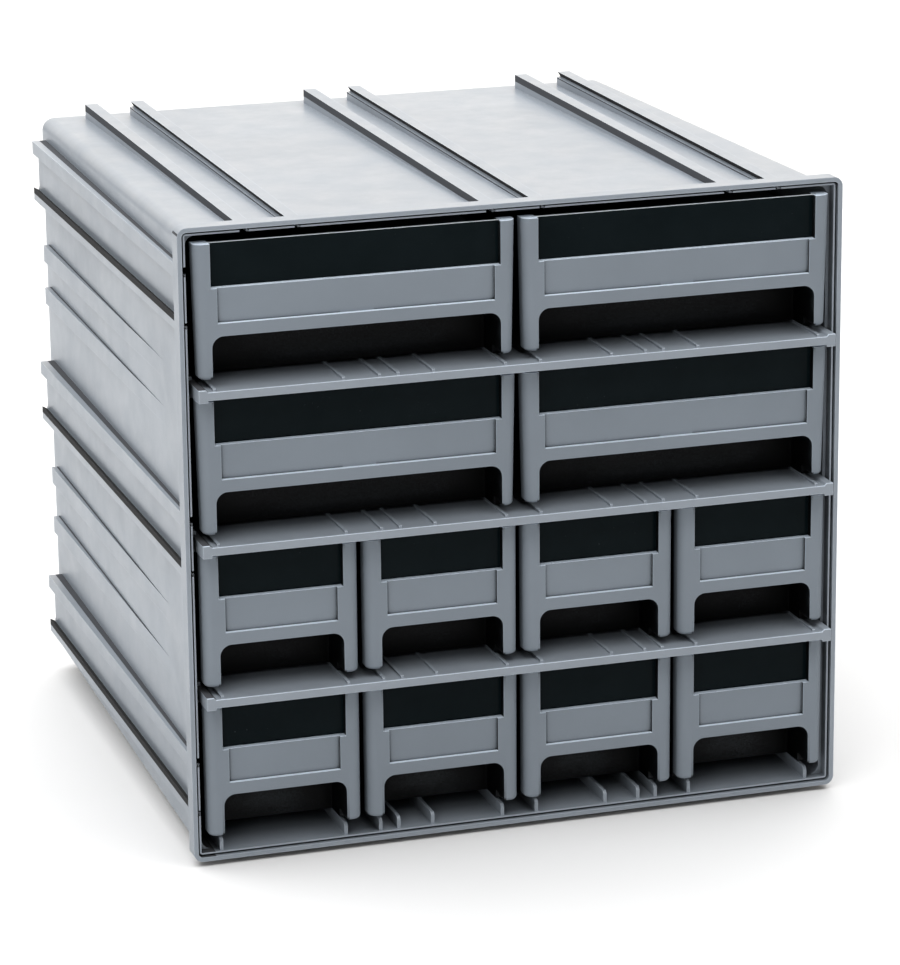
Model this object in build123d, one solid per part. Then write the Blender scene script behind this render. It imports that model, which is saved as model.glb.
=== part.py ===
"""Interlocking small-parts drawer cabinet: one open-fronted shell, three slide-in shelves,
four wide and eight narrow drawers, and a dark window pane in every drawer front.

Frame: millimetres, +Z up, the drawers open towards -Y, origin at the centre of the base on the table.
Depths are counted from the plane of the front rim, and heights from the bottom edge of that rim.
"""
from build123d import *
import os

# ---------------------------------------------------------------- driving dimensions
WIDTH = 298.0            # across the front rim
HEIGHT = 280.0           # over the front rim
DEPTH = 289.0            # front rim to back wall
WALL = 1.8

RIM_DEPTH = 8.0          # the raised band around the mouth
RIM_CORNER = 4.1
LIP = 2.0                # thin front edge of the rim
LIP_DEPTH = 1.3
LEDGE = 3.6              # second, inner edge of the rim, a little behind the lip
LEDGE_T = 0.7
GROOVE_END = 5.0         # how deep the groove between the two edges goes

SIDE_SET_IN = 3.0        # rim face to side wall, at the front
SIDE_TAPER = 3.8         # how far each side wall draws in by the back
TOP_SET_IN = 2.8
TOP_TAPER = 4.1
BOTTOM_SET_IN = 1.7
BOTTOM_TAPER = 3.4
EDGE_RADIUS = 6.0
BACK_RADIUS = 2.5

RAIL_END = 279.0         # depth at which the outside rails stop
RAIL_W = 6.0
RAIL_ROOT = 9.5          # rail outlines reach this far in, down into the tapering walls
RAIL_SKIN = 1.5          # the rails are hollow behind this skin
CORE_START = 1.3         # the hollows are open towards the mouth from this depth on
RAIL_SIDE_SKIN = 0.9
RAIL_PAIRS = 3
PAIR_PITCH = 108.0       # from one rail pair to the next
HOOK_OFFSET = 22.3       # plain rail to hooked rail
HOOK_LIP = 2.3
HOOK_CUT = 1.3
HOOK_SKIN = 2.5
TOP_PAIR_START = 26.3    # left rim face to the first plain rail on top
SIDE_PAIR_START = 15.9   # top rim face to the first plain rail on the side
PLATEAU_DROP = 2.7       # raised band between the side rails, below the rim face
TONGUE_PROUD = 2.4       # tongue rails stand out of the right and bottom rim faces
TONGUE_START = 12.0      # from the plain rail's outer face
TONGUE_END = 21.7
TONGUE_CATCH = 1.1       # the tongue's tip reaches this far under a neighbour's hook

ROW_PITCH = 67.7
FLOOR_REST = 9.0         # top of the runners on the cabinet floor
SHELF_RIB = 1.1          # runner height on a shelf
RIB_W = 1.3
FLOOR_RIB_W = 1.5
FLOOR_RIB_ROUND = 2.0
FLOOR_RIB_START = 2.4    # the cabinet floor's runners begin this far behind the rim plane
SHELF_RIB_ROUND = 0.8
RIB_X = (7.9, 40.2, 55.8, 64.1, 79.9, 136.1)    # serves two, three or four drawers in a row

SHELF_FRONT = -8.0       # the shelves reach out in front of the rim
SHELF_BACK = 277.0
SHELF_PLATE = 1.8
SHELF_STRIP = 3.5
SHELF_STRIP_DEPTH = 2.6
SHELF_BACK_STRIP = 2.0
SHELF_WEB_W = 1.6        # stiffening webs under the plate
SHELF_HALF_W = 143.4
RUNNER_W = 3.8
RUNNER_PROUD = 1.0       # the shelf's side runners are thicker than its strip, above and below
RUNNER_BEVEL = 0.9
SLOT_PLAY = 0.3
SLOT_BULGE_H = 8.0       # outside of the shelf slots on the side walls
SLOT_BULGE_SET_IN = 3.6
BULGE_END = 279.0
SPARE_SLOTS = (98.8, 188.5)    # slot centres for a three-row layout
GUIDE_REACH = 2.4        # rails inside the side walls, over and under each shelf
GUIDE_START = 10.0
GUIDE_END = 75.0
GUIDE_T = 1.5

COLUMNS = 4
COLUMN_PITCH = 72.0      # width of one narrow drawer bay
DRAWER_GAP = 3.0
FACE = -2.0              # depth of the drawer faces
FRAME_DEPTH = 8.0
FRAME_LOW = 2.4          # the posts stop this far above the runners
FRAME_TOP = 60.7
WIDE_DRAFT = 1.3         # each outer side of a wide frame leans in by this much at its foot
NARROW_DRAFT = 0.2
FOOT_CLEAR = 12.0        # the tray starts this far back below the posts' feet
POST_W = 7.0
POST_ROUND = 4.0
POST_FOOT_ROUND = 1.6
BAR_LOW = 20.9
BAR_TOP = 41.6
BAR_T = 2.6
BAR_EDGE = 1.8           # the bar is full depth along its top and bottom edges
FINGER_ROUND = 5.0
LABEL_DEPTH = 1.3
LABEL_LOW = 26.5
LABEL_INSET = 2.7
PANE_TOP = 60.5
PANE_SETBACK = 3.6
PANE_T = 1.4
PANE_EDGE = 1.6          # how far the pane reaches into the posts
PANE_PLAY = 0.12

TRAY_T = 1.6
TRAY_LENGTH = 270.0
TRAY_TOP = 50.0
TRAY_SET_IN = 1.2        # drawer frame to tray side, at the front
TRAY_TAPER = 3.0         # how far each tray side draws in by the back
TRAY_SHOULDER = 58.0     # tray sides rise to this behind the frame
TRAY_SHOULDER_END = 32.0
FINGER_POCKET = 24.0
POCKET_CEILING = 22.5
REST_PLAY = 0.15

# ---------------------------------------------------------------- outside rail outlines
# Points are (distance along the wall from the plain rail's outer face, height out of the rim face).
HOOK_ROOT = HOOK_OFFSET - 0.5
PLAIN_RAIL = [(0, 0), (RAIL_W, 0), (RAIL_W, -RAIL_ROOT), (0, -RAIL_ROOT)]
HOOKED_RAIL = [(HOOK_OFFSET, 0), (HOOK_OFFSET + HOOK_CUT, -HOOK_LIP), (HOOK_ROOT, -PLATEAU_DROP),
               (HOOK_ROOT, -RAIL_ROOT), (HOOK_OFFSET + RAIL_W, -RAIL_ROOT), (HOOK_OFFSET + RAIL_W, 0)]
PLATEAU = [(RAIL_W - 0.5, -PLATEAU_DROP), (HOOK_OFFSET, -PLATEAU_DROP),
           (HOOK_OFFSET, -RAIL_ROOT), (RAIL_W - 0.5, -RAIL_ROOT)]
TONGUE = [(TONGUE_START, TONGUE_PROUD), (TONGUE_END + TONGUE_CATCH, TONGUE_PROUD), (TONGUE_END, 0),
          (TONGUE_END, -RAIL_ROOT), (TONGUE_START, -RAIL_ROOT)]

# ---------------------------------------------------------------- places worked out from them
HALF_W = WIDTH / 2
RAIL_FRONT = RIM_DEPTH - 0.5             # the rails start just inside the rim band
HALF_SLOT = SHELF_STRIP / 2 + RUNNER_PROUD + SLOT_PLAY
BASE = TONGUE_PROUD                      # rim bottom above the table
FRONT_Y = -DEPTH / 2
SHELF_TOPS = [FLOOR_REST - SHELF_RIB + ROW_PITCH * k for k in (3, 2, 1)]
REST_LEVELS = [top + SHELF_RIB for top in SHELF_TOPS] + [FLOOR_REST]


def block(x0, x1, d0, d1, z0, z1):
    """A box from depth d0 to d1 behind the rim plane, with heights counted from the rim bottom."""
    size = (abs(x1 - x0), abs(d1 - d0), abs(z1 - z0))
    centre = ((x0 + x1) / 2, FRONT_Y + (d0 + d1) / 2, BASE + (z0 + z1) / 2)
    return Pos(*centre) * Box(*size)


def front_plane(depth):
    """Sketch plane facing the front at a depth: local x is X, local y is Z."""
    return Plane.XZ.offset(-(FRONT_Y + depth))


def prism(points, d0, d1):
    """A closed outline in X and Z, extruded from depth d0 to d1."""
    outline = Polyline(*[(x, BASE + z) for x, z in points], close=True)
    return extrude(front_plane(d1) * make_face(outline), d1 - d0)


def rounded_slab(half_w, z0, z1, radius, d0, d1):
    face = Pos(0, BASE + (z0 + z1) / 2) * RectangleRounded(2 * half_w, z1 - z0, radius)
    return extrude(front_plane(d1) * face, d1 - d0)


# ---------------------------------------------------------------- cabinet shell
def wall_section(depth, inset):
    """The tapered box's outline at a depth, moved in by the wall thickness for its inside."""
    part = depth / DEPTH
    half_w = HALF_W - SIDE_SET_IN - SIDE_TAPER * part - inset
    low = BOTTOM_SET_IN + BOTTOM_TAPER * part + inset
    high = HEIGHT - TOP_SET_IN - TOP_TAPER * part - inset
    face = Pos(0, BASE + (low + high) / 2) * RectangleRounded(2 * half_w, high - low, EDGE_RADIUS - inset)
    return front_plane(depth) * face


def tapered_box(d0, d1, inset):
    return loft([wall_section(d0, inset), wall_section(d1, inset)])


def core_outline(along0, along1):
    return [(along0, -RAIL_SKIN), (along1, -RAIL_SKIN), (along1, -RAIL_ROOT), (along0, -RAIL_ROOT)]


def on_top(points, k):
    start = -HALF_W + TOP_PAIR_START + PAIR_PITCH * k
    return [(start + along, HEIGHT + out) for along, out in points]


def on_bottom(points, k):
    start = -HALF_W + TOP_PAIR_START + PAIR_PITCH * k
    return [(start + along, -out) for along, out in points]


def on_left(points, k):
    start = HEIGHT - SIDE_PAIR_START - PAIR_PITCH * k
    return [(-HALF_W - out, start - along) for along, out in points]


def on_right(points, k):
    start = HEIGHT - SIDE_PAIR_START - PAIR_PITCH * k
    return [(HALF_W + out, start - along) for along, out in points]


def slot_centres():
    """Heights of the shelf slots in the side walls."""
    return [top - SHELF_STRIP / 2 for top in SHELF_TOPS] + list(SPARE_SLOTS)


def build_shell():
    body = tapered_box(0, DEPTH, 0)
    back_edges = body.faces().sort_by(Axis.Y)[-1].edges()
    body = fillet(back_edges, BACK_RADIUS)
    body += rounded_slab(HALF_W, 0, HEIGHT, RIM_CORNER, 0, RIM_DEPTH)
    for piece in outside_rails() + slot_bulges():
        body += piece

    inside_lip = rounded_slab(HALF_W - LIP, LIP, HEIGHT - LIP, RIM_CORNER - LIP, -1, GROOVE_END)
    inner = LEDGE - LEDGE_T
    inner_edge = rounded_slab(HALF_W - inner, inner, HEIGHT - inner, RIM_CORNER - inner, LIP_DEPTH, DEPTH)
    body -= inside_lip - inner_edge
    mouth_end = RIM_DEPTH - WALL    # leaves the band closed behind the mouth's corners
    body -= rounded_slab(HALF_W - LEDGE, LEDGE, HEIGHT - LEDGE, RIM_CORNER - LEDGE, -1, mouth_end)
    body -= tapered_box(0, DEPTH - WALL, WALL)
    for core in rail_cores():
        body -= core
    slot_x = SHELF_HALF_W + SLOT_PLAY
    for centre in slot_centres():
        low = centre - HALF_SLOT
        body -= block(-slot_x, slot_x, RIM_DEPTH, SHELF_BACK + SLOT_PLAY, low, centre + HALF_SLOT)

    inside = tapered_box(0, DEPTH, WALL / 2)
    for piece in shelf_guides() + floor_ribs():
        body += piece & inside
    return body


def outside_rails():
    """Channels on the top and left walls, and the tongues on the bottom and right that fit them."""
    rails = []
    for k in range(RAIL_PAIRS):
        outlines = [place(shape, k) for place in (on_top, on_left) for shape in (PLAIN_RAIL, HOOKED_RAIL)]
        outlines += [on_left(PLATEAU, k), on_bottom(TONGUE, k), on_right(TONGUE, k)]
        rails += [prism(outline, RAIL_FRONT, RAIL_END) for outline in outlines]
    return rails


def rail_cores():
    """Hollows behind the channel rails, open towards the mouth of the cabinet."""
    spans = [(RAIL_SIDE_SKIN, RAIL_W - RAIL_SIDE_SKIN),
             (HOOK_OFFSET + HOOK_SKIN, HOOK_OFFSET + RAIL_W - RAIL_SIDE_SKIN)]
    cores = []
    for k in range(RAIL_PAIRS):
        for place in (on_top, on_left):
            for along0, along1 in spans:
                outline = place(core_outline(along0, along1), k)
                cores.append(prism(outline, CORE_START, RAIL_END - RAIL_SKIN))
    return cores


def slot_bulges():
    """Ridges along the outside of the side walls that make room for the shelf slots."""
    outer = HALF_W - SLOT_BULGE_SET_IN
    inner = outer - RAIL_ROOT
    bulges = []
    for centre in slot_centres():
        low = centre - SLOT_BULGE_H / 2
        for side in (-1, 1):
            bulges.append(block(side * inner, side * outer, RAIL_FRONT, BULGE_END, low, low + SLOT_BULGE_H))
    return bulges


def shelf_guides():
    """Short rails inside the side walls, above and below the front part of each shelf."""
    inner = HALF_W - SIDE_SET_IN - WALL - GUIDE_REACH
    guides = []
    for top in SHELF_TOPS:
        under = top - SHELF_STRIP / 2 - HALF_SLOT - GUIDE_T
        over = top - SHELF_STRIP / 2 + HALF_SLOT
        for low in (under, over):
            for side in (-1, 1):
                guides.append(block(side * inner, side * HALF_W, GUIDE_START, GUIDE_END, low, low + GUIDE_T))
    return guides


def rounded_rib(x, width, d0, d1, z0, z1, radius):
    """An upright runner along the depth with a rounded front end."""
    rib = block(x - width / 2, x + width / 2, d0, d1, z0, z1)
    front_top = rib.edges().filter_by(Axis.X).group_by(Axis.Z)[-1].sort_by(Axis.Y)[0]
    return fillet(front_top, radius)


def floor_ribs():
    """Upright runners on the cabinet floor, level with the shelves' runners."""
    back = DEPTH - WALL
    return [rounded_rib(side * x, FLOOR_RIB_W, FLOOR_RIB_START, back, BOTTOM_SET_IN, FLOOR_REST, FLOOR_RIB_ROUND)
            for x in RIB_X for side in (-1, 1)]


# ---------------------------------------------------------------- shelves
def build_shelf(top):
    """Plate with a deeper strip along the front and back, side runners, and ribs the drawers ride on."""
    strip_back = SHELF_FRONT + SHELF_STRIP_DEPTH
    web_back = SHELF_BACK - SHELF_BACK_STRIP
    inner = SHELF_HALF_W - RUNNER_W
    under = top - SHELF_STRIP
    shelf = block(-inner, inner, SHELF_FRONT, SHELF_BACK, top - SHELF_PLATE, top)
    shelf += block(-inner, inner, SHELF_FRONT, strip_back, under, top)
    shelf += block(-inner, inner, web_back, SHELF_BACK, under, top)
    for x in (-COLUMN_PITCH, 0, COLUMN_PITCH):
        half_web = SHELF_WEB_W / 2
        shelf += block(x - half_web, x + half_web, strip_back, web_back, under, top - SHELF_PLATE)

    # The runners overlap the plate a little so that each joins it as one solid.
    low = under - RUNNER_PROUD
    runner = block(inner - 0.2, SHELF_HALF_W, SHELF_FRONT, SHELF_BACK, low, top + RUNNER_PROUD)
    inner_top = runner.edges().filter_by(Axis.Y).group_by(Axis.Z)[-1].sort_by(Axis.X)[0]
    runner = chamfer(inner_top, RUNNER_BEVEL)
    shelf += runner
    shelf += mirror(runner, about=Plane.YZ)

    for x in RIB_X:
        for side in (-1, 1):
            shelf += rounded_rib(side * x, RIB_W, strip_back - 0.6, web_back, top - 0.5, top + SHELF_RIB,
                                 SHELF_RIB_ROUND)
    return shelf


# ---------------------------------------------------------------- drawers
def drawer_frame(half_w, half_open, draft):
    """The H-shaped front: two posts with a label bar between them."""
    foot = half_w - draft
    outline = [(-foot, FRAME_LOW), (foot, FRAME_LOW), (half_w, FRAME_TOP), (-half_w, FRAME_TOP)]
    frame = prism(outline, 0, FRAME_DEPTH)
    uprights = frame.faces().sort_by(Axis.Y)[0].edges().filter_by(Axis.X, reverse=True)
    frame = fillet(uprights, POST_ROUND)
    frame -= block(-half_open, half_open, -1, FRAME_DEPTH + 1, FRAME_LOW - 1, BAR_LOW)
    frame -= block(-half_open, half_open, -1, FRAME_DEPTH + 1, BAR_TOP, FRAME_TOP + 1)
    feet = frame.edges().filter_by(Axis.Y).group_by(Axis.Z)[0]
    frame = fillet(feet, POST_FOOT_ROUND)
    bar_low = BASE + BAR_LOW
    under_bar = frame.edges().filter_by(Axis.Y).filter_by_position(Axis.Z, bar_low - 0.1, bar_low + 0.1)
    frame = fillet(under_bar, FINGER_ROUND)
    frame -= block(-half_open, half_open, BAR_T, FRAME_DEPTH + 1, POCKET_CEILING, BAR_TOP - BAR_EDGE)
    return frame


def cut_pane_seat(frame, half_open):
    """Grooves in the posts, open at the top, and a step on the bar that hold the window pane's edges."""
    seat = half_open + PANE_EDGE + PANE_PLAY
    d0 = PANE_SETBACK - PANE_PLAY
    d1 = PANE_SETBACK + PANE_T + PANE_PLAY
    return frame - block(-seat, seat, d0, d1, BAR_TOP, FRAME_TOP + 1)


def tray_solid(half_w, inset, d0, d1, z0, z1):
    """A tray-shaped block whose sides draw in towards the back."""
    half_front = half_w - TRAY_SET_IN - TRAY_TAPER * d0 / TRAY_LENGTH - inset
    half_back = half_w - TRAY_SET_IN - TRAY_TAPER * d1 / TRAY_LENGTH - inset
    plan = Polyline((-half_front, FRONT_Y + d0), (half_front, FRONT_Y + d0),
                    (half_back, FRONT_Y + d1), (-half_back, FRONT_Y + d1), close=True)
    return Pos(0, 0, BASE + z0) * extrude(make_face(plan), z1 - z0)


def build_tray(half_w, draft):
    """Drawer tray with its front frame, modelled with its face in the rim plane and z = 0 on the runners."""
    half_open = half_w - POST_W
    foot = half_w - draft
    tray = tray_solid(foot, 0, BAR_T, TRAY_LENGTH, 0, TRAY_SHOULDER)
    over = TRAY_SHOULDER + 1
    tray -= block(-half_w, half_w, TRAY_SHOULDER_END, TRAY_LENGTH + 1, TRAY_TOP, over)
    slope_start = FRONT_Y + FRAME_DEPTH
    slope_end = FRONT_Y + TRAY_SHOULDER_END
    wedge = Polyline((slope_start, BASE + TRAY_SHOULDER), (slope_end, BASE + TRAY_TOP),
                     (slope_end, BASE + over), (slope_start, BASE + over), close=True)
    tray -= extrude(Plane.YZ.offset(-half_w) * make_face(wedge), 2 * half_w)
    tray -= tray_solid(foot, TRAY_T, FINGER_POCKET + TRAY_T, TRAY_LENGTH - TRAY_T, TRAY_T, over)
    tray -= tray_solid(foot, TRAY_T, BAR_T, FINGER_POCKET + 2 * TRAY_T, POCKET_CEILING, over)
    pocket = block(-half_open, half_open, -1, FINGER_POCKET, -1, BAR_LOW)
    ceiling_edges = pocket.edges().filter_by(Axis.Y).group_by(Axis.Z)[-1]
    tray -= fillet(ceiling_edges, FINGER_ROUND)
    tray -= block(-half_w, half_w, -1, FOOT_CLEAR, -1, FRAME_LOW + POST_FOOT_ROUND)
    tray += drawer_frame(half_w, half_open, draft)
    sill_back = PANE_SETBACK + PANE_T
    tray += block(-half_open, half_open, sill_back, FRAME_DEPTH, BAR_TOP - BAR_EDGE, BAR_TOP + BAR_EDGE)
    tray = cut_pane_seat(tray, half_open)
    label_w = half_open - LABEL_INSET
    tray -= block(-label_w, label_w, -1, LABEL_DEPTH, LABEL_LOW, BAR_TOP + 0.5)
    return tray


def build_pane(half_w):
    reach = half_w - POST_W + PANE_EDGE
    low = BAR_TOP + PANE_PLAY
    return block(-reach, reach, PANE_SETBACK, PANE_SETBACK + PANE_T, low, PANE_TOP)


def drawer_places():
    """Name, number of narrow bays spanned, centre x and resting height of each drawer."""
    places = []
    for row, rest in enumerate(REST_LEVELS):
        span = 2 if row < 2 else 1
        count = COLUMNS // span
        for col in range(count):
            centre = (col - (count - 1) / 2) * span * COLUMN_PITCH
            places.append((f"r{row + 1}c{col + 1}", span, centre, rest + REST_PLAY))
    return places


# ---------------------------------------------------------------- write every piece
def main():
    os.makedirs("parts", exist_ok=True)
    export_step(build_shell(), "parts/cabinet_shell.step")
    for name, top in zip(("upper", "middle", "lower"), SHELF_TOPS):
        export_step(build_shelf(top), f"parts/shelf_{name}.step")
    trays = {}
    panes = {}
    for span, draft in ((1, NARROW_DRAFT), (2, WIDE_DRAFT)):
        half_w = (span * COLUMN_PITCH - DRAWER_GAP) / 2
        trays[span] = build_tray(half_w, draft)
        panes[span] = build_pane(half_w)
    for name, span, centre, rest in drawer_places():
        place = Pos(centre, FACE, rest)
        export_step(place * trays[span], f"parts/drawer_{name}.step")
        export_step(place * panes[span], f"parts/window_{name}.step")


main()
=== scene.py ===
"""The looks of an interlocking small-parts drawer cabinet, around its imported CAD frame.

Everything is in metres in the CAD frame: +Z up, the drawers open towards -Y, the origin at the centre
of the base on the table. All CAD shapes stay; this script rounds their edges, gives them their moulded
plastics, and sets the studio and the camera.
"""
import math

import bpy
from mathutils import Matrix, Vector

# ---------------------------------------------------------------- the camera, in the row frame
CAMERA_AT = Vector((-0.5572, -1.7899, 0.6598))
CAMERA_YAW = math.radians(17.72)      # towards +X from straight along +Y
CAMERA_PITCH = math.radians(16.08)    # below the horizon
CAMERA_ROLL = math.radians(-0.59)
CAMERA_LENS = 156.2
SENSOR = 36.0

# ---------------------------------------------------------------- sizes shared with the CAD
FRONT_Y = -0.1445                     # plane of the front rim
TOP_Z = 0.2824                        # top rim face
SIDE_X = -0.149                       # left rim face
WALL_SET_IN = 0.003                   # left rim face to left wall, at the front
WALL_TAPER = 0.0038 / 0.289           # how fast that wall draws in with depth
SIDE_REACH = 0.010                    # everything on the left side lies this near to the left rim face
SIDE_RAIL_Z = 0.2665                  # upper face of the highest plain rail on the left
PAIR_PITCH = 0.108                    # from one pair of rails to the next
HOOK_OFFSET = 0.0223                  # plain rail to hooked rail
TOP_FLANK_SHADE = 0.0033                    # height of the painted shade band atop the top rails' flanks
TOP_HOOK = 0.004                      # height of the undercut of the top's hooked rails
RIM_DEPTH = 0.0082                    # the rim's band ends at this depth
BAY = 0.072                           # width of one narrow drawer bay; bay edges lie at its multiples
POST_REACH = 0.0075                   # a post lies within this distance of a bay edge

# ---------------------------------------------------------------- tones of the plastics and painted light
# painted shade on the rails' flanks
FLANK_SHADE = (0.045, 0.048, 0.055)
# painted shade: near-black in the rails' undercut grooves
GROOVE_SHADE = (0.002, 0.002, 0.003)
DULL = (0.95, 0.95, 0.95)             # roughness of the flanks and grooves
HOOK_SHADE_BAND = 0.0028                    # painted shadow band on the top edge of the left hooked rails
CREASE_SHADE = 0.0008                       # painted contact shade where an upward face meets the left wall
LEDGE_HIGHLIGHT_LIFT = 2.8                      # painted highlight, against the plastic's own colour
EDGE_HIGHLIGHT_LIFT = 1.55                      # painted highlight on edges, against it
EDGE_HIGHLIGHT_REACH = 0.0006                  # how far the painted edge highlight reaches from an edge
DUST = (0.10, 0.11, 0.115)
PANE_TOP_HIGHLIGHT = (0.72, 0.78, 0.82)          # painted highlight on the top edge of a window pane
PLASTIC_IOR = 1.5

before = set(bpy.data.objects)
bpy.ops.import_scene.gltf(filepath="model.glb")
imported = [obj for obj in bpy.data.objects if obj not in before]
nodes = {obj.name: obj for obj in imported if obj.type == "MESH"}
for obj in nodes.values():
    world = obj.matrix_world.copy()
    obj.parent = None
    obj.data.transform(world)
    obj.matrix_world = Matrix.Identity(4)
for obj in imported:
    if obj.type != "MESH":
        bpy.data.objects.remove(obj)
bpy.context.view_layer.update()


# ---------------------------------------------------------------- node helpers
class Nodes:
    """Short calls for building one material's node tree."""

    def __init__(self, name):
        self.material = bpy.data.materials.new(name)
        self.material.use_nodes = True
        self.tree = self.material.node_tree
        self.shader = self.tree.nodes["Principled BSDF"]
        self.place = self.add("ShaderNodeTexCoord").outputs["Object"]

    def add(self, kind, **settings):
        """A new node of this kind, with its plain settings."""
        node = self.tree.nodes.new(kind)
        for key, value in settings.items():
            setattr(node, key, value)
        return node

    def link(self, source, target):
        self.tree.links.new(source, target)

    def noise(self, scale, detail=2.0, rough=0.5):
        node = self.add("ShaderNodeTexNoise")
        node.inputs["Scale"].default_value = scale
        node.inputs["Detail"].default_value = detail
        node.inputs["Roughness"].default_value = rough
        self.link(self.place, node.inputs["Vector"])
        return node.outputs["Fac"]

    def ramp(self, fac, stops):
        """A colour ramp; each stop is (position, grey or colour)."""
        node = self.add("ShaderNodeValToRGB")
        while len(node.color_ramp.elements) < len(stops):
            node.color_ramp.elements.new(0.5)
        for element, (position, value) in zip(node.color_ramp.elements, stops):
            element.position = position
            colour = (value,) * 3 if isinstance(value, float) else tuple(value)
            element.color = colour + (1,)
        self.link(fac, node.inputs["Fac"])
        return node.outputs["Color"]

    def mix(self, fac, a, b, blend="MIX"):
        """Mixes two colours; each input is a number, a colour or another node's output."""
        node = self.add("ShaderNodeMix", data_type="RGBA", blend_type=blend)
        for socket, value in ((node.inputs[0], fac), (node.inputs[6], a), (node.inputs[7], b)):
            if isinstance(value, (int, float)):
                socket.default_value = value
            elif isinstance(value, tuple):
                socket.default_value = value + (1,)
            else:
                self.link(value, socket)
        return node.outputs[2]

    def math(self, operation, a, b=0.0, c=0.0):
        node = self.add("ShaderNodeMath", operation=operation)
        for socket, value in zip(node.inputs, (a, b, c)):
            if isinstance(value, (int, float)):
                socket.default_value = value
            else:
                self.link(value, socket)
        return node.outputs["Value"]

    def above(self, value, limit):
        return self.math("GREATER_THAN", value, limit)

    def below(self, value, limit):
        return self.math("LESS_THAN", value, limit)

    def both(self, first, *others):
        """1 where every one of the masks is 1."""
        for other in others:
            first = self.math("MULTIPLY", first, other)
        return first

    def split(self, vector):
        """The x, y and z of a vector."""
        node = self.add("ShaderNodeSeparateXYZ")
        self.link(vector, node.inputs[0])
        return node.outputs[0], node.outputs[1], node.outputs[2]

    def facing(self):
        """The x, y and z of the surface's own normal."""
        return self.split(self.add("ShaderNodeTexCoord").outputs["Normal"])

    def near_repeat(self, value, middle, pitch, reach):
        """1 within `reach` of the middle and of its repeats at every pitch."""
        offset = self.math("WRAP", self.math("SUBTRACT", value, middle), pitch / 2, -pitch / 2)
        return self.below(self.math("ABSOLUTE", offset), reach)

    def bump(self, height, strength, distance, below=None):
        node = self.add("ShaderNodeBump")
        node.inputs["Strength"].default_value = strength
        node.inputs["Distance"].default_value = distance
        self.link(height, node.inputs["Height"])
        if below is not None:
            self.link(below, node.inputs["Normal"])
        return node.outputs["Normal"]


def crevices(n, tone, reach, stops, starts=None):
    """Darkens a colour where little light gets in: finger gaps, the rims' corners, the rails' feet.

    On the posts, beside the edges of the drawer bays, it sets in over the span of depths `starts`.
    """
    openness = n.add("ShaderNodeAmbientOcclusion", samples=8)
    openness.inputs["Distance"].default_value = reach
    depth = n.ramp(openness.outputs["AO"], stops)
    if not starts:
        return n.mix(1.0, tone, depth, "MULTIPLY")
    share = n.add("ShaderNodeMapRange", clamp=True)
    share.inputs["From Min"].default_value = FRONT_Y + starts[0]
    share.inputs["From Max"].default_value = FRONT_Y + starts[1]
    x, y, _ = n.split(n.place)
    n.link(y, share.inputs["Value"])
    off_post = n.math("SUBTRACT", 1.0, n.near_repeat(x, 0.0, BAY, POST_REACH))
    return n.mix(n.math("MAXIMUM", share.outputs["Result"], off_post), tone, depth, "MULTIPLY")


def painted_edge_highlight(n, tone):
    """Lightens a colour along hard edges: a painted highlight where light catches the rounded edges.
    """
    soft = n.add("ShaderNodeBevel", samples=4)
    soft.inputs["Radius"].default_value = EDGE_HIGHLIGHT_REACH
    plain = n.add("ShaderNodeNewGeometry").outputs["Normal"]
    turn = n.add("ShaderNodeVectorMath", operation="DOT_PRODUCT")
    n.link(soft.outputs["Normal"], turn.inputs[0])
    n.link(plain, turn.inputs[1])
    edge = n.math("SUBTRACT", 1.0, turn.outputs["Value"])
    gain = n.ramp(edge, [(0.01, 1.0 / EDGE_HIGHLIGHT_LIFT), (0.10, 1.0)])
    bright = n.mix(1.0, tone, (EDGE_HIGHLIGHT_LIFT,) * 3, "MULTIPLY")
    return n.mix(1.0, bright, gain, "MULTIPLY")


def painted_ledge_highlights(n, tone, highlight_tone, front):
    """Paints a highlight onto the narrow upward faces in front of the depth `front`."""
    up = n.facing()[2]
    ledge = n.both(n.above(up, 0.35), n.below(n.split(n.place)[1], FRONT_Y + front))
    return n.mix(ledge, tone, highlight_tone)


def rail_shade(n):
    """Painted shade on the channel rails' flanks and in their grooves, darker than the walls beside
    them.

    Returns (mask of the painted shade on the flanks, mask of the painted shade in the grooves), each 0
    or 1.
    """
    x, y, z = n.split(n.place)
    nx, _, nz = n.facing()
    on_side = n.both(n.below(x, SIDE_X + SIDE_REACH), n.below(z, SIDE_RAIL_Z + 0.001))
    depth = n.math("SUBTRACT", y, FRONT_Y)
    wall_reach = n.math("MULTIPLY_ADD", depth, WALL_TAPER, WALL_SET_IN)
    off_wall = n.math("SUBTRACT", n.math("ADD", wall_reach, SIDE_X), x)

    # painted shade on the top rails' and left rails' flanks, and painted contact shade at the left
    # wall
    top_flank = n.both(n.below(nx, -0.9), n.above(z, TOP_Z - TOP_FLANK_SHADE))
    side_up = n.both(on_side, n.above(nz, 0.9))
    plain = n.near_repeat(z, SIDE_RAIL_Z, PAIR_PITCH, 0.001)
    inner_half = n.below(off_wall, n.math("MULTIPLY", wall_reach, 0.5))
    side_flank = n.both(side_up, plain, inner_half)
    crease_shade = n.both(side_up, n.math("SUBTRACT", 1.0, plain), n.below(off_wall, CREASE_SHADE))
    flank_shade = n.math("MAXIMUM", n.math("MAXIMUM", top_flank, side_flank), crease_shade)

    # painted shade in the undercut grooves, and a painted shadow band on the hooked rails' top edge
    top_groove = n.both(n.below(nx, -0.5), n.below(nz, -0.3), n.above(z, TOP_Z - TOP_HOOK))
    side_groove = n.both(n.above(nz, 0.5), n.above(nx, 0.2), on_side)
    hook_shade_middle = SIDE_RAIL_Z - HOOK_OFFSET - HOOK_SHADE_BAND / 2
    hook_shade_band = n.both(on_side, n.below(nx, -0.9), n.below(x, SIDE_X + 0.0003),
                       n.above(depth, RIM_DEPTH),
                       n.near_repeat(z, hook_shade_middle, PAIR_PITCH, HOOK_SHADE_BAND / 2))
    return flank_shade, n.math("MAXIMUM", n.math("MAXIMUM", top_groove, side_groove), hook_shade_band)


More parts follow.
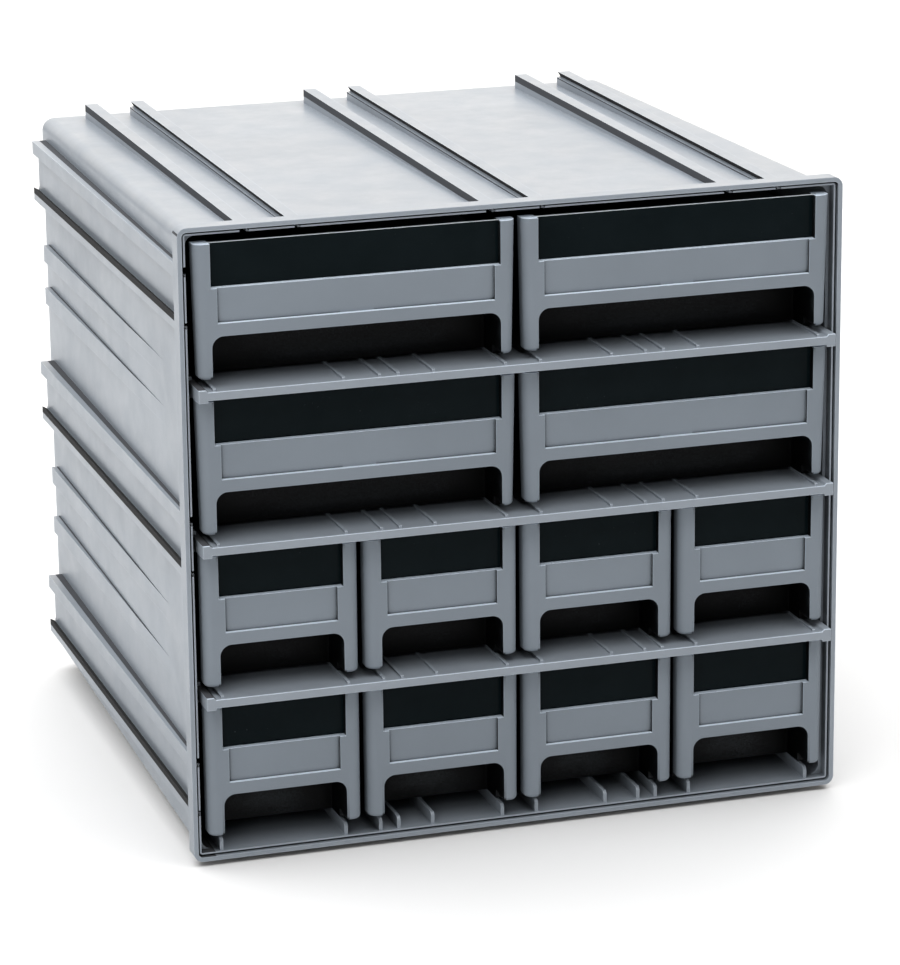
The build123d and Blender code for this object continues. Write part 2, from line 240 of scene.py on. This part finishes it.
def moulded_plastic(name, colour, gloss, specular, reach, stops, ledge_highlight_front, starts=None, rails=False):
    """Satin moulded plastic: cloudy colour, painted edge highlights, uneven gloss, soft flow waves,
    fine grain.

    `gloss` is its mean roughness. `reach`, `stops` and `starts` shape the crevices' painted shade;
    upward faces in front of the depth `ledge_highlight_front` get a painted highlight, and `rails`
    adds the painted shade on the rails' flanks and grooves.
    """
    n = Nodes(name)
    dark = tuple(c * 0.95 for c in colour)
    light = tuple(min(c * 1.04, 1.0) for c in colour)
    tone = n.ramp(n.noise(14.0, 4.0, 0.6), [(0.3, dark), (0.7, light)])
    # painted highlight along the hard edges
    tone = painted_edge_highlight(n, tone)
    rough = n.ramp(n.noise(60.0, 5.0, 0.65), [(0.3, gloss - 0.05), (0.7, gloss + 0.07)])
    if rails:
        # painted shade on the rails' flanks and in their grooves
        flank_shade, groove_shade = rail_shade(n)
        tone = n.mix(flank_shade, tone, FLANK_SHADE)
        tone = n.mix(groove_shade, tone, GROOVE_SHADE)
        rough = n.mix(n.math("MAXIMUM", flank_shade, groove_shade), rough, DULL)
    # painted highlight on the narrow upward faces near the front
    ledge_highlight = tuple(LEDGE_HIGHLIGHT_LIFT * c for c in colour)
    tone = painted_ledge_highlights(n, crevices(n, tone, reach, stops, starts), ledge_highlight, ledge_highlight_front)
    n.link(tone, n.shader.inputs["Base Color"])
    n.link(rough, n.shader.inputs["Roughness"])
    grain = n.bump(n.noise(2600.0, 3.0, 0.6), 0.25, 0.00005)
    flow = n.bump(n.noise(9.0, 2.0, 0.5), 0.14, 0.0006, below=grain)
    n.link(flow, n.shader.inputs["Normal"])
    n.shader.inputs["IOR"].default_value = PLASTIC_IOR
    n.shader.inputs["Specular IOR Level"].default_value = specular
    return n.material


def dark_window(name):
    """Very dark plastic with faint dust, and a painted highlight on its upward top edge."""
    n = Nodes(name)
    body = n.ramp(n.noise(40.0, 5.0, 0.7),
                  [(0.3, (0.0024, 0.0052, 0.0063)), (0.8, (0.0045, 0.0080, 0.0095))])
    specks = n.ramp(n.noise(900.0, 2.0, 0.4), [(0.74, 0.0), (0.80, 1.0)])
    patches = n.ramp(n.noise(25.0, 2.0), [(0.5, 0.0), (0.7, 0.35)])
    dusty = n.mix(n.mix(1.0, specks, patches, "MULTIPLY"), body, DUST)
    # painted highlight on the pane's upward faces
    n.link(n.mix(n.above(n.facing()[2], 0.4), dusty, PANE_TOP_HIGHLIGHT), n.shader.inputs["Base Color"])
    rough = n.ramp(n.noise(120.0, 6.0, 0.7), [(0.35, 0.10), (0.75, 0.2)])
    n.link(rough, n.shader.inputs["Roughness"])
    n.link(n.bump(n.noise(30.0, 2.0, 0.5), 0.15, 0.0004), n.shader.inputs["Normal"])
    n.shader.inputs["IOR"].default_value = PLASTIC_IOR
    n.shader.inputs["Specular IOR Level"].default_value = 0.035
    return n.material


# ---------------------------------------------------------------- the CAD pieces
def round_edges(piece, width):
    """Small moulded radii on every hard edge; the CAD mesh itself is left as it is."""
    weld = piece.modifiers.new("weld", "WELD")
    weld.merge_threshold = 1e-6
    planar = piece.modifiers.new("planar", "DECIMATE")
    planar.decimate_type = "DISSOLVE"
    planar.angle_limit = math.radians(0.5)
    bevel = piece.modifiers.new("round", "BEVEL")
    bevel.width = width
    bevel.segments = 2
    bevel.limit_method = "ANGLE"
    bevel.angle_limit = math.radians(35)
    bevel.use_clamp_overlap = True
    bevel.harden_normals = False
    smooth = piece.modifiers.new("shade", "WEIGHTED_NORMAL")
    smooth.keep_sharp = True


def dress(piece, material, edge):
    """Gives a piece its material, smooth shading and rounded edges."""
    piece.data.materials.clear()
    piece.data.materials.append(material)
    for polygon in piece.data.polygons:
        polygon.use_smooth = True
    round_edges(piece, edge)


PANE_ROUND = 0.0002
PIECE_ROUND = 0.0004
CABINET = moulded_plastic("cabinet_plastic", (0.228, 0.257, 0.292), 0.36, 0.5, 0.02,
                          [(0.08, 0.06), (0.27, 0.7), (0.45, 1.0)], -0.0072, rails=True)
DRAWER = moulded_plastic("drawer_plastic", (0.190, 0.217, 0.247), 0.42, 0.1, 0.05,
                         [(0.2, 0.0), (0.55, 0.025), (0.8, 1.0)], 0.0055, starts=(0.001, 0.010))
WINDOW = dark_window("window_plastic")

for name, piece in sorted(nodes.items()):
    if name.startswith("window"):
        dress(piece, WINDOW, PANE_ROUND)
    elif name.startswith("drawer"):
        dress(piece, DRAWER, PIECE_ROUND)
    else:
        dress(piece, CABINET, PIECE_ROUND)


# ---------------------------------------------------------------- studio
FLOOR_SIZE = 12
OVERHEAD = 192.0                      # the softboxes' powers, in watts
LEFT = 10.0
FRONT = 12.0
BACK = 46.0
BACK_COLOUR = (1.0, 0.91, 0.81)
WORLD = 0.06                          # strength of the white surroundings


def build_floor():
    """A plain floor of pale paper."""
    bpy.ops.mesh.primitive_plane_add(size=FLOOR_SIZE, location=(0, 0, 0))
    floor = bpy.context.object
    floor.name = "floor"
    n = Nodes("floor_paper")
    n.link(n.ramp(n.noise(3.0, 3.0), [(0.3, (0.70, 0.70, 0.70)), (0.7, (0.74, 0.74, 0.74))]),
           n.shader.inputs["Base Color"])
    n.shader.inputs["Roughness"].default_value = 0.9
    floor.data.materials.append(n.material)


def softbox(name, at, aim, size, power, colour=(1, 1, 1)):
    """A rectangular soft light that the camera doesn't see."""
    light = bpy.data.lights.new(name, "AREA")
    light.color = colour
    light.shape = "RECTANGLE"
    light.size, light.size_y = size
    light.energy = power
    lamp = bpy.data.objects.new(name, light)
    lamp.location = at
    lamp.visible_camera = False
    lamp.rotation_euler = (Vector(aim) - Vector(at)).to_track_quat("-Z", "Y").to_euler()
    bpy.context.scene.collection.objects.link(lamp)


def build_world(strength):
    world = bpy.data.worlds.new("studio")
    world.use_nodes = True
    background = world.node_tree.nodes["Background"]
    background.inputs["Color"].default_value = (1, 1, 1, 1)
    background.inputs["Strength"].default_value = strength
    bpy.context.scene.world = world


def build_camera():
    camera = bpy.data.objects.new("camera", bpy.data.cameras.new("camera"))
    camera.data.lens = CAMERA_LENS
    camera.data.sensor_width = SENSOR
    camera.data.clip_end = 50
    camera.location = CAMERA_AT
    turn = Matrix.Rotation(-CAMERA_YAW, 4, "Z") @ Matrix.Rotation(math.pi / 2 - CAMERA_PITCH, 4, "X")
    camera.rotation_euler = (turn @ Matrix.Rotation(CAMERA_ROLL, 4, "Z")).to_euler()
    bpy.context.scene.collection.objects.link(camera)
    bpy.context.scene.camera = camera


build_floor()
softbox("overhead", (-0.2, 0.2, 2.2), (-0.2, 0.2, 0.0), (4.5, 4.5), OVERHEAD)
softbox("left", (-1.7, 1.3, 0.9), (0, 0, 0.14), (1.6, 1.2), LEFT)
softbox("back", (0.8, 3.2, 1.1), (0, 0, 0.2), (4.5, 2.0), BACK, BACK_COLOUR)
softbox("front", (-0.9, -2.2, 0.9), (0, 0, 0.14), (1.6, 1.0), FRONT)
build_world(WORLD)
build_camera()
bpy.context.scene.view_settings.view_transform = "Standard"
